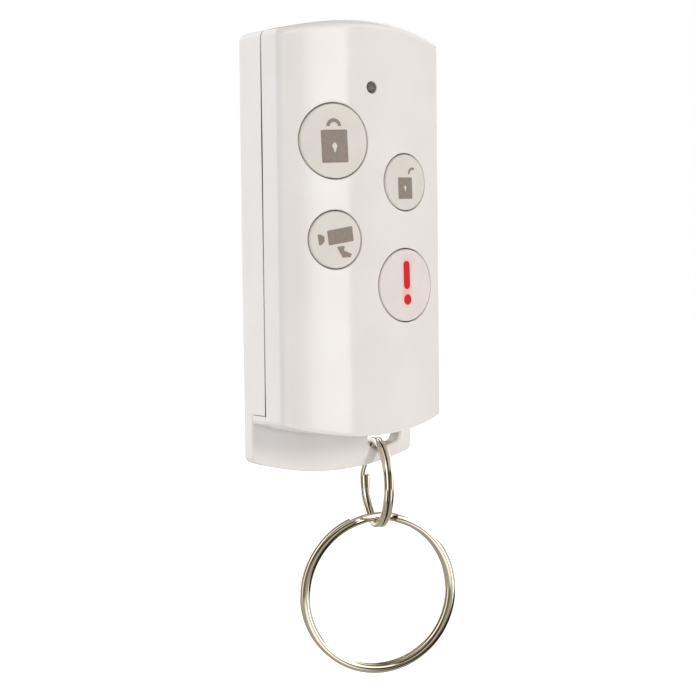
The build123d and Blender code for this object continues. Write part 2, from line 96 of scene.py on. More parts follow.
def add_node(tree, kind, inputs=(), **settings):
    """Add a node, make its settings and give inputs, by name or number, a value or a socket to link.

    A colour Mix takes its share at input 0 and its two colours at 6 and 7, and gives its colour at output 2.
    """
    node = tree.nodes.new(kind)
    for name, value in settings.items():
        setattr(node, name, value)
    for place, value in dict(inputs).items():
        if isinstance(value, bpy.types.NodeSocket):
            tree.links.new(value, node.inputs[place])
        else:
            node.inputs[place].default_value = value
    return node


def start_material(name):
    """New material, with its node tree and its shader."""
    material = bpy.data.materials.new(name)
    material.use_nodes = True
    return material, material.node_tree, material.node_tree.nodes["Principled BSDF"]


def mottle(tree, grain, span=(0.0, 1.0), clip=noise_middle, detail=2.0, place=None):
    """Noise in patches one grain across, in metres; its values between the clip's ends fill the span."""
    place = place or add_node(tree, "ShaderNodeTexCoord").outputs["Object"]
    cloud = add_node(tree, "ShaderNodeTexNoise", {"Vector": place, "Scale": 1 / grain, "Detail": detail})
    return add_node(tree, "ShaderNodeMapRange", {
        "Value": cloud.outputs[0], "From Min": clip[0], "From Max": clip[1], "To Min": span[0],
        "To Max": span[1]}).outputs["Result"]


def dress(tree, shader, skin, gloss, relief, depth):
    """Link a colour, a roughness and a bump, whose relief from 0 to 1 stands for a real depth."""
    bump = add_node(tree, "ShaderNodeBump", {"Height": relief, "Distance": depth, "Strength": 1.0})
    for socket, place in ((skin, "Base Color"), (gloss, "Roughness"), (bump.outputs["Normal"], "Normal")):
        tree.links.new(socket, shader.inputs[place])


def set_stops(ramp, stops):
    """Give a ramp its stops, each a share along it and a colour; it has its first and last already."""
    marks = ramp.color_ramp.elements
    for share, colour in stops[1:-1]:
        marks.new(share).color = colour
    marks[0].color = stops[0][1]
    marks[-1].color = stops[-1][1]


def cover(names, material):
    """Give CAD nodes a material."""
    for name in names:
        for slot in nodes[name].material_slots:
            slot.material = material


def painted_seam_shade(tree, sides):
    """Share of painted shade: where |Y + seam height| is under half the seam, it is the share given for that
    Z.
    """
    level = add_node(tree, "ShaderNodeMath", {0: sides["Y"], 1: seam_height}, operation="ADD").outputs[0]
    away = add_node(tree, "ShaderNodeMath", {0: level}, operation="ABSOLUTE").outputs[0]
    near = add_node(tree, "ShaderNodeMapRange", {
        "Value": away, "From Min": seam_half_width, "From Max": seam_half_width + seam_fade, "To Min": 1.0,
        "To Max": 0.0}).outputs["Result"]
    along = add_node(tree, "ShaderNodeMapRange", {
        "Value": sides["Z"], "From Min": -seam_reach, "From Max": seam_reach}).outputs["Result"]
    shade_by_height = add_node(tree, "ShaderNodeValToRGB", {"Fac": along})
    set_stops(shade_by_height, [
        ((z + seam_reach) / (2 * seam_reach), [darkness] * 3 + [1.0]) for z, darkness in seam_shade_levels])
    return add_node(tree, "ShaderNodeMath", {
        0: near, 1: shade_by_height.outputs["Color"]}, operation="MULTIPLY").outputs[0]


def painted_slot_shade(tree, place):
    """Share of painted slot shade, which falls to none as the largest of |offset / half size| on X, Y and Z
    passes 1.
    """
    offset = add_node(tree, "ShaderNodeVectorMath", {
        0: place, 1: slot_middle}, operation="SUBTRACT").outputs[0]
    shares = add_node(tree, "ShaderNodeVectorMath", {
        0: offset, 1: slot_half_size}, operation="DIVIDE").outputs[0]
    shares = add_node(tree, "ShaderNodeVectorMath", {0: shares}, operation="ABSOLUTE").outputs[0]
    reach = add_node(tree, "ShaderNodeSeparateXYZ", {"Vector": shares}).outputs
    farthest = reach["X"]
    for side in ("Y", "Z"):
        farthest = add_node(tree, "ShaderNodeMath", {
            0: farthest, 1: reach[side]}, operation="MAXIMUM").outputs[0]
    return add_node(tree, "ShaderNodeMapRange", {
        "Value": farthest, "From Min": slot_shade_start, "From Max": slot_shade_end,
        "To Min": slot_shade_strength, "To Max": 0.0}).outputs["Result"]


def cover_plastic():
    """Polished white ABS: a deep gloss, with painted shade as a dark thread at the seam and greying the
    slot.
    """
    material, tree, shader = start_material("gloss_white_abs")
    tint = mottle(tree, cover_tint_grain, detail=1.0)
    skin = add_node(tree, "ShaderNodeMix", {
        0: tint, 6: linear("E9E5E2"), 7: linear("ECE9E7")}, data_type="RGBA").outputs[2]
    place = add_node(tree, "ShaderNodeTexCoord").outputs["Object"]
    sides = add_node(tree, "ShaderNodeSeparateXYZ", {"Vector": place}).outputs
    # Painted shade: the seam darkens towards this colour, most of it beside the upper buttons.
    skin = add_node(tree, "ShaderNodeMix", {
        0: painted_seam_shade(tree, sides), 6: skin, 7: linear("3A3734")}, data_type="RGBA").outputs[2]
    # Painted shade: the inside of the slot greys towards this colour.
    skin = add_node(tree, "ShaderNodeMix", {
        0: painted_slot_shade(tree, place), 6: skin, 7: linear("B9B2A8")}, data_type="RGBA").outputs[2]
    gloss = mottle(tree, cover_gloss_grain, cover_roughness)
    waves = mottle(tree, cover_wave_length, clip=noise_whole, detail=1.0)
    dress(tree, shader, skin, gloss, waves, cover_wave_depth)
    shader.inputs["IOR"].default_value = 1.5
    return material


cover(["front_cover", "rear_cover"], cover_plastic())

# Button caps: four round caps moulded in a warmer, slightly see-through white plastic with a satin top,
# each held behind the front cover by its flange. The alert button's plastic is a little pink, and a painted
# pink glow close to its mark stands for the red ink shining into it.
cap_tint_grain = 0.004
cap_gloss_grain = 0.0015
cap_roughness = (0.34, 0.42)
# The mould's real texture is finer than 0.1 mm, and is drawn coarser so that it shows.
cap_top_grain = 0.00025
cap_top_depth = 0.000002
cap_scatter_reach = (0.0012, 0.001, 0.0008)
alert_middle = (0.00732, 0.0, -0.00915)
alert_half_length = 0.0031
# The painted pink glow fades out between these distances from the alert mark.
glow_start = 0.0007
glow_end = 0.0014
glow_strength = 0.55


def painted_ink_glow(tree):
    """Painted glow's strength, falling from the alert mark: its distance is the length of (X, 0, |Z| less
    half the mark).
    """
    place = add_node(tree, "ShaderNodeTexCoord").outputs["Object"]
    offset = add_node(tree, "ShaderNodeVectorMath", {
        0: place, 1: alert_middle}, operation="SUBTRACT").outputs[0]
    sides = add_node(tree, "ShaderNodeSeparateXYZ", {"Vector": offset}).outputs
    above = add_node(tree, "ShaderNodeMath", {0: sides["Z"]}, operation="ABSOLUTE").outputs[0]
    beyond = add_node(tree, "ShaderNodeMapRange", {
        "Value": above, "From Min": alert_half_length, "From Max": 2 * alert_half_length,
        "To Max": alert_half_length}).outputs["Result"]
    flat = add_node(tree, "ShaderNodeCombineXYZ", {"X": sides["X"], "Z": beyond}).outputs[0]
    away = add_node(tree, "ShaderNodeVectorMath", {0: flat}, operation="LENGTH").outputs["Value"]
    return add_node(tree, "ShaderNodeMapRange", {
        "Value": away, "From Min": glow_start, "From Max": glow_end, "To Min": glow_strength,
        "To Max": 0.0}).outputs["Result"]


def cap_plastic(name, first, second, inked):
    """Satin plastic that light enters a little way, so it looks soft; an inked one has a painted glow at its
    mark.
    """
    material, tree, shader = start_material(name)
    tint = mottle(tree, cap_tint_grain, detail=1.0)
    skin = add_node(tree, "ShaderNodeMix", {
        0: tint, 6: linear(first), 7: linear(second)}, data_type="RGBA").outputs[2]
    if inked:
        # Painted glow: the cap turns pink close to the red mark.
        skin = add_node(tree, "ShaderNodeMix", {
            0: painted_ink_glow(tree), 6: skin, 7: linear("FFAEA6")}, data_type="RGBA").outputs[2]
    gloss = mottle(tree, cap_gloss_grain, cap_roughness)
    top = mottle(tree, cap_top_grain, clip=noise_whole)
    dress(tree, shader, skin, gloss, top, cap_top_depth)
    shader.inputs["IOR"].default_value = 1.46
    shader.inputs["Subsurface Weight"].default_value = 0.15
    shader.inputs["Subsurface Radius"].default_value = cap_scatter_reach
    shader.inputs["Subsurface Scale"].default_value = 1.0
    return material


white_plastic = cap_plastic("satin_white_caps", "DCD8D1", "E0DCD6", inked=False)
cover(["lock_button", "unlock_button", "camera_button"], white_plastic)
cover(["panic_button"], cap_plastic("satin_pink_cap", "E4DCDA", "E8E0DE", inked=True))

# Marks: generic pictograms of a closed padlock, an open padlock, a camera and an alert, pad-printed on the
# caps in taupe and red ink. Each is a thin layer of ink, cut in strips and bent to the bow of its cap.
ink_tint_grain = 0.0006
ink_gloss_grain = 0.0004
ink_roughness = (0.42, 0.55)
# The real bumps of the dried film are finer than 0.05 mm, and are drawn coarser so that they show.
ink_top_grain = 0.00012
ink_top_depth = 0.000003
ink_rise = 0.000015
ink_thickness = 0.00004
ink_strip_width = 0.0003
cover_bow_radius = 0.05
cap_rise = 0.00012
cap_bow_radius = cover_bow_radius + cap_rise
cap_bow_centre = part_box("front_cover")[0][1] + cover_bow_radius
millimetres = 0.001
corner_steps = 5
arc_points = 14


def ink(name, first, second):
    """Matt printing ink between two hex colours, whose dried film has fine bumps that break up its shine."""
    material, tree, shader = start_material(name)
    tint = mottle(tree, ink_tint_grain)
    skin = add_node(tree, "ShaderNodeMix", {
        0: tint, 6: linear(first), 7: linear(second)}, data_type="RGBA").outputs[2]
    gloss = mottle(tree, ink_gloss_grain, ink_roughness)
    film = mottle(tree, ink_top_grain, clip=noise_whole)
    dress(tree, shader, skin, gloss, film, ink_top_depth)
    return material


def arc(middle, radius, first, last, steps=arc_points):
    """Points of an arc: middle + radius (cos a, sin a), a in degrees from the right and anticlockwise."""
    angles = np.radians(np.linspace(first, last, steps))
    return np.array(middle) + radius * np.column_stack([np.cos(angles), np.sin(angles)])


def band(middle, radius, width, first, last):
    """Outline of an arc of a width: its outer arc on, and its inner arc back."""
    outer = arc(middle, radius + width / 2, first, last)
    return np.vstack([outer, arc(middle, radius - width / 2, last, first)])


def rounded(corners, radius):
    """Outline through corners, each bridged by an arc that touches both its edges.

    The arc starts radius / tan(half the corner's angle) from the corner, or half the shorter edge where that
    is less. Its middle is on the corner's bisector, at that distance / cos(half the angle).
    """
    here = np.array(corners)
    back, on = (np.roll(here, shift, axis=0) - here for shift in (1, -1))
    back_length, on_length = (np.linalg.norm(edge, axis=1, keepdims=True) for edge in (back, on))
    back, on = back / back_length, on / on_length
    half = np.arccos((back * on).sum(axis=1, keepdims=True)) / 2
    reach = np.minimum(radius / np.tan(half), np.minimum(back_length, on_length) / 2)
    bisector = (back + on) / np.linalg.norm(back + on, axis=1, keepdims=True)
    middle = here + bisector * reach / np.cos(half)
    start, finish = here + back * reach - middle, here + on * reach - middle
    crossed = start[:, :1] * finish[:, 1:] - start[:, 1:] * finish[:, :1]
    turn = np.arctan2(crossed, (start * finish).sum(axis=1, keepdims=True))
    turn = turn * np.linspace(0, 1, corner_steps + 1)
    across = middle[:, :1] + start[:, :1] * np.cos(turn) - start[:, 1:] * np.sin(turn)
    up = middle[:, 1:] + start[:, :1] * np.sin(turn) + start[:, 1:] * np.cos(turn)
    return np.stack([across, up], axis=-1).reshape(-1, 2)


def put_in_scene(name, data):
    """New object of a mesh, a lamp or a camera."""
    thing = bpy.data.objects.new(name, data)
    bpy.context.collection.objects.link(thing)
    return thing


def print_mark(name, outlines, place, turned, material, body):
    """Ink filled in outlines in mm, holes among them, turned about the origin, moved to its place and bent.

    The bend puts each point at Y = centre of the bow - square root of (radius of the bow + rise)^2 - X^2.
    """
    turn = radians(turned)
    rotation = np.array([[cos(turn), sin(turn)], [-sin(turn), cos(turn)]])
    corners = np.vstack(outlines) @ rotation + np.array(place)
    corners = np.insert(corners, 1, 0.0, axis=1) * millimetres
    edges = []
    for outline in outlines:
        ring = len(edges) + np.arange(len(outline))
        edges += np.column_stack([ring, np.roll(ring, -1)]).tolist()
    mesh = bpy.data.meshes.new(name)
    mesh.from_pydata(corners.tolist(), edges, [])
    shape = bmesh.new()
    shape.from_mesh(mesh)
    bmesh.ops.triangle_fill(shape, use_beauty=True, edges=shape.edges[:], normal=(0, -1, 0))
    for cut in np.arange(corners[:, 0].min() + ink_strip_width, corners[:, 0].max(), ink_strip_width):
        everything = shape.verts[:] + shape.edges[:] + shape.faces[:]
        bmesh.ops.bisect_plane(shape, geom=everything, plane_co=(cut, 0, 0), plane_no=(1, 0, 0))
    shape.to_mesh(mesh)
    points = np.empty(3 * len(mesh.vertices), dtype=np.float32)
    mesh.vertices.foreach_get("co", points)
    points = points.reshape(-1, 3)
    points[:, 1] = cap_bow_centre - np.sqrt((cap_bow_radius + ink_rise) ** 2 - points[:, 0] ** 2)
    mesh.vertices.foreach_set("co", points.ravel())
    shape.clear()
    shape.from_mesh(mesh)
    bmesh.ops.solidify(shape, geom=shape.faces[:], thickness=ink_thickness)
    bmesh.ops.recalc_face_normals(shape, faces=shape.faces[:])
    shape.to_mesh(mesh)
    shape.free()
    mesh.materials.append(material)
    piece = put_in_scene(name, mesh)
    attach(piece, body)


taupe_ink = ink("taupe_ink", "8A7D73", "92867C")
red_ink = ink("red_ink", "CF000A", "D60510")

lock_outlines = {
    "body": [
        rounded([(-2.4, -2.7), (2.4, -2.7), (2.4, 2.7), (-2.4, 2.7)], radius=0.25),
        rounded([(0.0, 0.7), (-0.5, 0.1), (-0.26, -0.4), (0.0, -1.35), (0.26, -0.4), (0.5, 0.1)],
                radius=0.12)],
    "shackle": [band((0.0, 3.2), radius=1.07, width=0.62, first=5, last=175)]}
for part, outlines in lock_outlines.items():
    print_mark(f"lock_icon_{part}", outlines, place=(-7.42, 13.45), turned=2.5, material=taupe_ink,
               body="lock_key")

unlock_outlines = {
    "body": [
        rounded([(-1.66, -1.82), (1.66, -1.82), (1.66, 1.82), (-1.66, 1.82)], radius=0.18),
        rounded([(0.0, 0.6), (-0.3, 0.12), (-0.15, -0.2), (0.0, -0.8), (0.15, -0.2), (0.3, 0.12)],
                radius=0.08)],
    "shackle": [band((1.85, 2.45), radius=0.86, width=0.42, first=62, last=185)]}
for part, outlines in unlock_outlines.items():
    print_mark(f"unlock_icon_{part}", outlines, place=(7.1, 6.87), turned=2.0, material=taupe_ink,
               body="unlock_key")

camera_outlines = {
    "body": [rounded([(-2.35, -1.4), (2.35, -1.2), (2.35, 1.28), (-2.35, 1.05)], radius=0.2)],
    "hood": [rounded([(-4.05, -1.2), (-3.6, -1.15), (-2.98, -0.6), (-2.98, 0.2), (-3.65, 0.62),
                      (-4.1, 0.6)], radius=0.15)],
    "foot": [rounded([(-0.95, -1.8), (0.55, -1.8), (0.3, -2.55), (1.7, -3.3), (1.45, -3.78), (-0.1, -3.7),
                      (-0.6, -2.6)], radius=0.1)]}
for part, outlines in camera_outlines.items():
    print_mark(f"camera_icon_{part}", outlines, place=(-6.55, -1.22), turned=7.0, material=taupe_ink,
               body="camera_key")

alert_bar = rounded([(-0.74, -2.4), (0.74, -2.4), (0.74, 2.4), (-0.74, 2.4)], radius=0.66)
alert_dot = arc((0.0, 0.0), radius=0.9, first=0, last=350, steps=36)
print_mark("alert_icon_bar", [alert_bar], place=(7.26, -7.9), turned=1.5, material=red_ink,
           body="panic_key")
print_mark("alert_icon_dot", [alert_dot], place=(7.45, -12.08), turned=0.0, material=red_ink,
           body="panic_key")

# Indicator lens: a pin of smoked polycarbonate in the front cover, over the light source on the board. Its
# tip is spark eroded, so it looks speckled and grey, and it is darker to the left, in the shade of its hole.
# The real speckles are about 0.1 mm across, and are drawn coarser so that they show.
lens_speckle_grain = 0.0003
lens_speckle_depth = 0.00004
lens_roughness = (0.4, 0.5)
lens_shade_shift = 0.00035
lens_shade_start = 0.0009
lens_shade_end = 0.00115
lens_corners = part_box("indicator_lens")
lens_shade_middle = [(low + high) / 2 for low, high in zip(*lens_corners)]
lens_shade_middle[0] += lens_shade_shift


def lens_plastic():
    """Grey plastic with paler speckles, darker with the distance from a line to the right of its axis."""
    material, tree, shader = start_material("smoked_lens")
    speckle = mottle(tree, lens_speckle_grain, detail=3.0)
    skin = add_node(tree, "ShaderNodeMix", {
        0: speckle, 6: linear("1C1B19"), 7: linear("86837D")}, data_type="RGBA").outputs[2]
    place = add_node(tree, "ShaderNodeTexCoord").outputs["Object"]
    offset = add_node(tree, "ShaderNodeVectorMath", {
        0: place, 1: lens_shade_middle}, operation="SUBTRACT").outputs[0]
    across = add_node(tree, "ShaderNodeVectorMath", {
        0: offset, 1: (1, 0, 1)}, operation="MULTIPLY").outputs[0]
    away = add_node(tree, "ShaderNodeVectorMath", {0: across}, operation="LENGTH").outputs["Value"]
    shaded = add_node(tree, "ShaderNodeMapRange", {
        "Value": away, "From Min": lens_shade_start, "From Max": lens_shade_end}).outputs["Result"]
    skin = add_node(tree, "ShaderNodeMix", {
        0: shaded, 6: skin, 7: linear("0F0E0C")}, data_type="RGBA").outputs[2]
    gloss = mottle(tree, lens_speckle_grain, lens_roughness)
    bumps = mottle(tree, lens_speckle_grain, clip=noise_whole, detail=3.0)
    dress(tree, shader, skin, gloss, bumps, lens_speckle_depth)
    return material


cover(["indicator_lens"], lens_plastic())

# Circuit board: glass fibre laminate under green solder mask, with copper on both sides. The glass cloth
# shows faintly through the mask as a fine crossed weave.
weave_width = 0.0005
weave_depth = 0.000004
mask_gloss_grain = 0.002
mask_roughness = (0.25, 0.35)
waves_per_unit = 3


def solder_mask():
    """Green gloss over a weave, which is one wave along X times one wave along Z."""
    material, tree, shader = start_material("green_board")
    place = add_node(tree, "ShaderNodeTexCoord").outputs["Object"]
    waves = {"Vector": place, "Scale": 1 / (waves_per_unit * weave_width)}
    across, up = (
        add_node(tree, "ShaderNodeTexWave", waves, bands_direction=way).outputs["Fac"] for way in ("X", "Z"))
    weave = add_node(tree, "ShaderNodeMath", {0: across, 1: up}, operation="MULTIPLY").outputs[0]
    raised = add_node(tree, "ShaderNodeMapRange", {
        "Value": weave, "From Min": noise_middle[0], "From Max": noise_middle[1]}).outputs["Result"]
    skin = add_node(tree, "ShaderNodeMix", {
        0: raised, 6: linear("0E5A32"), 7: linear("13683B")}, data_type="RGBA").outputs[2]
    dress(tree, shader, skin, mottle(tree, mask_gloss_grain, mask_roughness), weave, weave_depth)
    return material


cover(["circuit_board"], solder_mask())

# Moulded pieces on the board: switch bodies and plungers in black nylon, the cell holder, epoxy chip
# packages, ceramic capacitors and resistors, and the pale package of the light source. Each has its own
# grain and sheen.
tint_grains = 6
gloss_grains = 4
relief_share = 1 / 40


def moulding(name, first, second, grain, roughness):
    """Moulded skin with a dull, even sheen.

    Tint and gloss change over several grains, and the bumps are a share of a grain high.
    """
    material, tree, shader = start_material(name)
    tint = mottle(tree, tint_grains * grain)
    skin = add_node(tree, "ShaderNodeMix", {
        0: tint, 6: linear(first), 7: linear(second)}, data_type="RGBA").outputs[2]
    gloss = mottle(tree, gloss_grains * grain, roughness)
    dress(tree, shader, skin, gloss, mottle(tree, grain, clip=noise_whole), relief_share * grain)
    return material


keys = ("lock", "unlock", "camera", "panic")
switch_nylon = moulding("black_switch", "161616", "1E1E1E", grain=0.00015, roughness=(0.4, 0.5))
plunger_nylon = moulding("black_plunger", "1B1B1D", "242426", grain=0.00012, roughness=(0.3, 0.38))
holder_plastic = moulding("black_holder", "191919", "232323", grain=0.0002, roughness=(0.45, 0.58))
chip_epoxy = moulding("chip_epoxy", "141415", "1C1C1D", grain=0.00008, roughness=(0.5, 0.62))
part_ceramic = moulding("chip_ceramic", "8A6A4C", "A07E5C", grain=0.0002, roughness=(0.35, 0.5))
light_package = moulding("led_package", "ECE8DA", "F2EFE4", grain=0.0002, roughness=(0.2, 0.3))
cover([f"{key}_switch" for key in keys], switch_nylon)
cover([f"{key}_plunger" for key in keys], plunger_nylon)
cover(["cell_holder"], holder_plastic)
cover(["microcontroller", "radio_chip"], chip_epoxy)
cover(["board_parts"], part_ceramic)
cover(["status_led"], light_package)

# Metal pieces inside and behind: pressed switch plates, sprung cell contacts, the steel can of the cell and
# of the crystal, the aerial's wire and the zinc-plated screw. Drawing and rolling leave fine lines one way,
# which draw the shine out across them.
line_relief_share = 1 / 60


def drawn_metal(name, first, second, stretch, line_width, roughness):
    """Metal whose lines are noise of one line's width, drawn out along the axis of the smallest stretch.

    Real lines are finer than 0.05 mm, and are drawn coarser so that they show.
    """
    material, tree, shader = start_material(name)
    place = add_node(tree, "ShaderNodeTexCoord").outputs["Object"]
    drawn = add_node(tree, "ShaderNodeMapping", {"Vector": place, "Scale": stretch}).outputs["Vector"]
    lines = mottle(tree, line_width, place=drawn)
    skin = add_node(tree, "ShaderNodeMix", {
        0: lines, 6: linear(first), 7: linear(second)}, data_type="RGBA").outputs[2]
    gloss = mottle(tree, line_width, roughness, place=drawn)
    relief = mottle(tree, line_width, clip=noise_whole, place=drawn)
    dress(tree, shader, skin, gloss, relief, line_relief_share * line_width)
    shader.inputs["Metallic"].default_value = 1.0
    return material


pressed_plate = drawn_metal(
    "tinned_plate", "B9B7B2", "CFCDC8", stretch=(1, 1, 0.08), line_width=0.0002, roughness=(0.25, 0.4))
contact_spring = drawn_metal(
    "spring_contact", "BDB6A8", "D2CBBD", stretch=(0.08, 1, 1), line_width=0.0002, roughness=(0.2, 0.35))
cell_steel = drawn_metal(
    "cell_can", "C4C4C2", "D6D6D4", stretch=(0.1, 1, 1), line_width=0.00015, roughness=(0.22, 0.34))
crystal_steel = drawn_metal(
    "crystal_can", "C2C0BB", "D2D0CB", stretch=(1, 1, 0.1), line_width=0.0002, roughness=(0.2, 0.3))
aerial_wire = drawn_metal(
    "antenna_wire", "C99B52", "DBB068", stretch=(0.08, 1, 1), line_width=0.00015, roughness=(0.25, 0.38))
screw_zinc = drawn_metal(
    "zinc_screw", "B4B6B8", "CACCCE", stretch=(1, 1, 0.2), line_width=0.0002, roughness=(0.28, 0.42))
cover(["switch_plates"], pressed_plate)
cover(["cell_pad", "cell_clip"], contact_spring)
cover(["coin_cell"], cell_steel)
cover(["crystal"], crystal_steel)
cover(["antenna"], aerial_wire)
cover(["cover_screw"], screw_zinc)

# Split rings: nickel-plated spring steel, a flat wire with rounded edges wound twice round, with a step
# between its turns. They stand for the CAD rings and keep their outside, and only their turns lie closer.
# The plating is bright and faintly warm, darkened by grime and painted shade where the turns meet.
turn_arc = radians(325)
step_arc = radians(35)
winding_arc = 2 * pi + turn_arc
winding_points = 420
section_points = 28
squareness = 2.1
turn_gap = 0.00005
sharp_angle = radians(50)
# The lines left by drawing are really finer than 0.05 mm, and are drawn coarser so that they show.
wire_line_width = 0.00012
wire_line_stretch = (0.05, 1, 1)
wire_line_depth = 0.000001
wire_roughness = (0.04, 0.09)
# Grime and painted shade on the flanks of the turns that face each other.
wire_grime_and_shade_start = 0.62
wire_grime_and_shade_end = 0.92
wire_grime_and_shade_strength = 0.85


def nickel_plate(name, length, girth):
    """Bright plating with sharp reflections, on UV in metres along and round a wire, with grime and painted
    shade.

    The grime and painted shade grow with sin(2 pi V / girth), which is 1 on one flat side and -1 on the
    other, times a sign that changes from the first turn to the second with the distance along.
    """
    material, tree, shader = start_material(name)
    place = add_node(tree, "ShaderNodeUVMap").outputs["UV"]
    drawn = add_node(tree, "ShaderNodeMapping", {
        "Vector": place, "Scale": wire_line_stretch}).outputs["Vector"]
    lines = mottle(tree, wire_line_width, place=drawn)
    skin = add_node(tree, "ShaderNodeMix", {
        0: lines, 6: linear("DCD2C0"), 7: linear("E4DBC9")}, data_type="RGBA").outputs[2]
    sides = add_node(tree, "ShaderNodeSeparateXYZ", {"Vector": place}).outputs
    turn = add_node(tree, "ShaderNodeMapRange", {
        "Value": sides["X"], "From Min": length * turn_arc / winding_arc,
        "From Max": length * 2 * pi / winding_arc, "To Min": -1.0, "To Max": 1.0}).outputs["Result"]
    section = add_node(tree, "ShaderNodeMath", {
        0: sides["Y"], 1: 2 * pi / girth}, operation="MULTIPLY").outputs[0]
    facing = add_node(tree, "ShaderNodeMath", {0: section}, operation="SINE").outputs[0]
    inward = add_node(tree, "ShaderNodeMath", {0: facing, 1: turn}, operation="MULTIPLY").outputs[0]
    grime_and_shade = add_node(tree, "ShaderNodeMapRange", {
        "Value": inward, "From Min": wire_grime_and_shade_start, "From Max": wire_grime_and_shade_end,
        "To Max": wire_grime_and_shade_strength}).outputs["Result"]
    # Grime and painted shade: the flanks where the turns meet darken towards this colour.
    skin = add_node(tree, "ShaderNodeMix", {
        0: grime_and_shade, 6: skin, 7: linear("463619")}, data_type="RGBA").outputs[2]
    gloss = mottle(tree, wire_line_width, wire_roughness, place=drawn)
    relief = mottle(tree, wire_line_width, clip=noise_whole, place=drawn)
    dress(tree, shader, skin, gloss, relief, wire_line_depth)
    shader.inputs["Metallic"].default_value = 1.0
    return material


def split_ring(name, node, body, centre, side, outer_radius, radial, total_axial, first_end):
    """Wire wound twice round: angle a runs from the top towards the side over two turns less one step.

    Its middle is centre + (up cos a + side sin a) r + normal s, where s is half the pitch on the first turn,
    minus half on the second and a smooth step between. Its section is the superellipse
    |u/p|^2.1 + |v/q|^2.1 = 1 with p half the radial and q half the axial size.
    """
    up = np.array([0.0, 0.0, 1.0])
    normal = np.cross(side, up)
    axial = (total_axial - turn_gap) / 2
    pitch = axial + turn_gap
    angles = np.linspace(0, winding_arc, winding_points)
    share = np.clip((angles - turn_arc) / step_arc, 0, 1)
    shift = pitch * (0.5 - share**2 * (3 - 2 * share))
    around = angles + radians(first_end)
    outward = np.outer(np.cos(around), up) + np.outer(np.sin(around), side)
    middle = centre + outward * (outer_radius - radial / 2) + np.outer(shift, normal)
    section = np.linspace(0, 2 * pi, section_points, endpoint=False)
    flat = np.sign(np.cos(section)) * np.abs(np.cos(section)) ** (2 / squareness) * radial / 2
    wide = np.sign(np.sin(section)) * np.abs(np.sin(section)) ** (2 / squareness) * axial / 2
    points = middle[:, None, :] + outward[:, None, :] * flat[None, :, None] + normal * wide[None, :, None]
    points = np.vstack([points.reshape(-1, 3), middle[:1], middle[-1:]])
    row, column = np.meshgrid(np.arange(winding_points - 1), np.arange(section_points), indexing="ij")
    first = row * section_points + column
    second = row * section_points + (column + 1) % section_points
    quads = np.stack([first, second, second + section_points, first + section_points], axis=-1)
    quads = quads.reshape(-1, 4)
    tip = winding_points * section_points
    last = tip - section_points
    start_cap = np.stack([np.full(section_points, tip), second[0], first[0]], axis=-1)
    end_cap = np.stack([np.full(section_points, tip + 1), first[0] + last, second[0] + last], axis=-1)
    mesh = bpy.data.meshes.new(name)
    mesh.from_pydata(points.tolist(), [], quads.tolist() + start_cap.tolist() + end_cap.tolist())
    length = winding_arc * (outer_radius - radial / 2)
    girth = (radial + axial) * pi / 2
    along = (row[..., None] + np.array([0, 0, 1, 1])).ravel() * length / (winding_points - 1)
    across = (column[..., None] + np.array([0, 1, 1, 0])).ravel() * girth / section_points
    along = np.append(along, np.repeat([0.0, length], start_cap.size))
    across = np.append(across, np.zeros(start_cap.size + end_cap.size))
    mesh.uv_layers.new(name="wire").uv.foreach_set("vector", np.column_stack([along, across]).ravel())
    mesh.shade_smooth()
    mesh.set_sharp_from_angle(angle=sharp_angle)
    mesh.materials.append(nickel_plate(f"{name}_nickel", length, girth))
    piece = put_in_scene(name, mesh)
    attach(piece, body)
    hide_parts(node)


small_turned = radians(20)
small_side = np.array([sin(small_turned), cos(small_turned), 0.0])
small_centre = np.array([0.0104, -0.0015, -0.04505])
split_ring("small_ring_wire", "small_split_ring", "small_ring", small_centre, small_side,
           outer_radius=0.0081, radial=0.00102, total_axial=0.00187, first_end=87)
large_turned = radians(18.5)
large_side = np.array([cos(large_turned), -sin(large_turned), 0.0])
large_centre = np.array([0.0106, -0.0015, -0.06505])
split_ring("large_ring_wire", "large_split_ring", "large_ring", large_centre, large_side,
           outer_radius=0.014545, radial=0.00155, total_axial=0.00249, first_end=14)

# Floor: a plain sheet of white paper well under the hanging rings. It glows enough to read as white to the
# camera, and is kept out of the gloss, where the room's own floor light stands in for it.
floor_drop = 0.10
floor_half = 3.0
paper_grain = 0.3
paper_glow_unseen = 0.22
paper_glow_seen = 0.6


def background_ray(tree):
    """1 for the camera, glossy and transmission rays that see the background, 0 for light on the object."""
    ray = add_node(tree, "ShaderNodeLightPath").outputs
    seen = ray["Is Camera Ray"]
    for kind in ("Is Glossy Ray", "Is Transmission Ray"):
        seen = add_node(tree, "ShaderNodeMath", {0: seen, 1: ray[kind]}, operation="MAXIMUM").outputs[0]
    return seen


def white_paper():
    """Matt paper, mottled as faintly as plain sheets are, that glows more to the rays that see it."""
    material, tree, shader = start_material("white_paper")
    seen = background_ray(tree)
    sheet = add_node(tree, "ShaderNodeMix", {
        0: mottle(tree, paper_grain), 6: linear("F4F4F4"), 7: linear("F8F8F8")}, data_type="RGBA").outputs[2]
    skin = add_node(tree, "ShaderNodeMix", {
        0: seen, 6: linear("E6E6E6"), 7: sheet}, data_type="RGBA").outputs[2]
    glow = add_node(tree, "ShaderNodeMapRange", {
        "Value": seen, "To Min": paper_glow_unseen, "To Max": paper_glow_seen}).outputs["Result"]
    tree.links.new(skin, shader.inputs["Base Color"])
    tree.links.new(glow, shader.inputs["Emission Strength"])
    shader.inputs["Roughness"].default_value = 0.9
    shader.inputs["Specular IOR Level"].default_value = 0.0
    shader.inputs["Emission Color"].default_value = linear("FFFFFF")
    return material


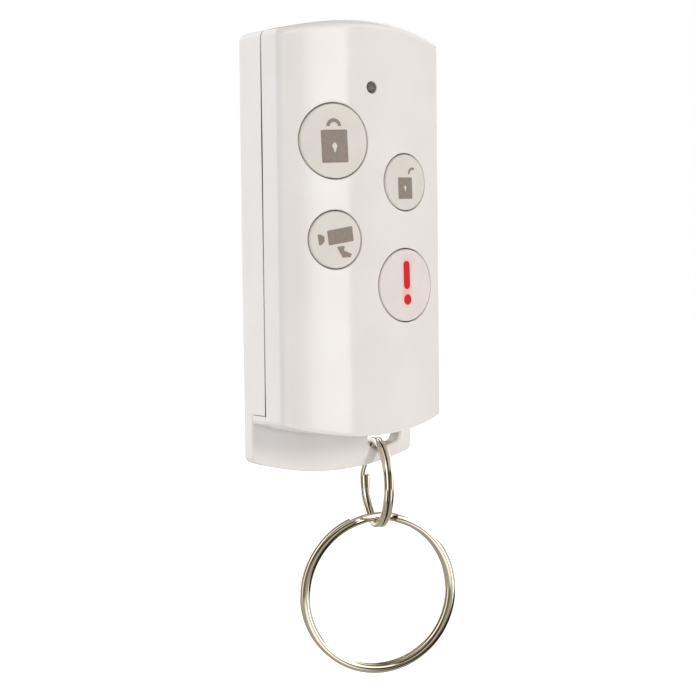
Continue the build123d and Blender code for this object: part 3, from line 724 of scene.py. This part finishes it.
floor_corners = floor_half * np.array([(-1, -1, 0), (1, -1, 0), (1, 1, 0), (-1, 1, 0)])
floor_corners[:, 2] = box_before[0][2] - floor_drop
floor_mesh = bpy.data.meshes.new("floor")
floor_mesh.from_pydata(floor_corners.tolist(), [], [(0, 1, 2, 3)])
floor_mesh.materials.append(white_paper())
floor = put_in_scene("floor", floor_mesh)
floor.visible_glossy = False

# Room: a white studio with soft light, most of it from the left, which the camera sees plain white. Metal
# and gloss also see the bright panels and dark cards that stand in it, which give them their streaks, and
# its dim places are brown.
full_circle = 360
brightest = 4.5
white_light = 1.0
floor_light = 0.45
ceiling_light = 0.16
dim_light = 0.2
white = (1.0, 1.0, 1.0)
dim_brown = (1.0, 0.72, 0.15)
# Each ring pairs a place round the room with its light: degrees from the front, more to the right.
rings_of_light = {
    "soft": (
        (-180, 0.7), (-150, 1.1), (-140, 1.32), (-80, 1.3), (-60, 0.55), (-40, 0.34), (-12, 0.3), (10, 0.34),
        (40, 0.28), (60, 0.34), (95, 0.75), (140, 0.9), (180, 0.7)),
    "low": (
        (-180, 0.45), (-60, 0.5), (-55, 1.35), (-8, 1.35), (1, 0.27), (6, 0.03), (80, 0.03),
        (92, 0.27), (98, 1.08), (132, 0.9), (140, 0.45), (180, 0.45)),
    "level": (
        (-180, 0.99), (-150, 1.17), (-125, 1.17), (-118, 0.23), (-65, 0.18), (-40, 0.36), (-12, 0.54),
        (-9, 0.63), (-5, 0.36), (-4, 0.05), (1.5, 0.05), (4, 0.36), (7.5, 2.34), (12, 3.33),
        (24.2, 3.51), (25.2, 0.36), (33, 0.45), (50, 0.9), (62, 0.54), (75, 0.27), (95, 1.89),
        (135, 1.89), (139, 0.14), (152, 0.18), (160, 1.26), (180, 0.99)),
    "high": (
        (-180, 1.62), (-125, 1.62), (-118, 0.18), (-65, 0.07), (-10, 0.09), (-5, 1.89), (135, 1.89),
        (139, 0.14), (152, 0.18), (160, 1.26), (180, 1.62))}
# Each light takes over from the one below it between two heights of the ray, which go from -1 to 1.
edges_of_light = {
    "low": (-0.72, -0.62), "level": (-0.27, -0.17), "high": (0.24, 0.32), "ceiling": (0.66, 0.78)}


def room_colour(strength, dim_colour):
    """Share of the brightest light, in white; its share e ^ (-strength / dim light) takes the dim colour."""
    dimness = exp(-strength / dim_light)
    return [strength / brightest * (1 - dimness * (1 - channel)) for channel in dim_colour] + [1.0]


def light_room():
    """Room whose light follows the azimuth atan2(X, -Y), and in reflections also the height of the ray."""
    room = bpy.data.worlds.new("light_room")
    room.use_nodes = True
    tree = room.node_tree
    tree.nodes.clear()
    direction = add_node(tree, "ShaderNodeTexCoord").outputs["Generated"]
    sides = add_node(tree, "ShaderNodeSeparateXYZ", {"Vector": direction}).outputs
    forward = add_node(tree, "ShaderNodeMath", {0: sides["Y"], 1: -1.0}, operation="MULTIPLY").outputs[0]
    azimuth = add_node(tree, "ShaderNodeMath", {0: sides["X"], 1: forward}, operation="ARCTAN2").outputs[0]
    around = add_node(tree, "ShaderNodeMapRange", {
        "Value": azimuth, "From Min": -pi, "From Max": pi}).outputs["Result"]
    light = {"floor": room_colour(floor_light, dim_brown), "ceiling": room_colour(ceiling_light, dim_brown)}
    for name, stops in rings_of_light.items():
        dim_colour = white if name == "soft" else dim_brown
        ramp = add_node(tree, "ShaderNodeValToRGB", {"Fac": around})
        set_stops(ramp, [
            (degrees / full_circle + 0.5, room_colour(strength, dim_colour)) for degrees, strength in stops])
        light[name] = ramp.outputs["Color"]
    mirrored = light["floor"]
    for name, (start, end) in edges_of_light.items():
        rise = add_node(tree, "ShaderNodeMapRange", {
            "Value": sides["Z"], "From Min": start, "From Max": end}).outputs["Result"]
        mirrored = add_node(tree, "ShaderNodeMix", {
            0: rise, 6: mirrored, 7: light[name]}, data_type="RGBA").outputs[2]
    glossy = add_node(tree, "ShaderNodeLightPath").outputs["Is Glossy Ray"]
    shown = add_node(tree, "ShaderNodeMix", {
        0: glossy, 6: room_colour(white_light, white), 7: mirrored}, data_type="RGBA").outputs[2]
    colour = add_node(tree, "ShaderNodeMix", {
        0: background_ray(tree), 6: light["soft"], 7: shown}, data_type="RGBA").outputs[2]
    glow = add_node(tree, "ShaderNodeBackground", {"Color": colour, "Strength": brightest})
    add_node(tree, "ShaderNodeOutputWorld", {"Surface": glow.outputs["Background"]})
    return room


bpy.context.scene.world = light_room()

# Key light: a soft box to the right of the front and a little above, which throws the small ring's shadow
# on the chin. It aims at the middle of the buttons and the rings and doesn't show in the gloss.
key_place = Vector((0.25, -0.63, 0.2))
key_aim = Vector((0.0, 0.0, -0.02))
key_light = bpy.data.lights.new("key_light", "AREA")
key_light.shape = "RECTANGLE"
key_light.size = 0.14
key_light.size_y = 0.2
key_light.energy = 1.8
key_light.color = linear("FFF9F2")[:3]
key_lamp = put_in_scene("key_lamp", key_light)
key_lamp.location = key_place
key_lamp.rotation_euler = (key_aim - key_place).to_track_quat("-Z", "Y").to_euler()
key_lamp.visible_glossy = False

# Camera: fitted to the photograph, to the left of the front and nearly level with the middle of the front
# cover. It looks a little down, at the whole object with its rings, and is rolled a little.
picture_width = 696
focal_pixels = 1600
camera_place = Vector((-0.15967, -0.23173, -0.00731))
camera_turn = radians(35.477)
camera_tilt = radians(2.713)
camera_roll = radians(0.638)
camera_data = bpy.data.cameras.new("camera")
camera_data.sensor_width = 36
camera_data.lens = camera_data.sensor_width * focal_pixels / picture_width
camera_data.clip_start = 0.01
camera_data.clip_end = 20
camera = put_in_scene("camera", camera_data)
upright = Matrix.Rotation(pi / 2 - camera_tilt, 4, "X")
camera.matrix_world = (Matrix.Translation(camera_place) @ Matrix.Rotation(-camera_turn, 4, "Z") @ upright
                       @ Matrix.Rotation(-camera_roll, 4, "Z"))
bpy.context.scene.camera = camera
bpy.context.scene.view_settings.view_transform = "Standard"
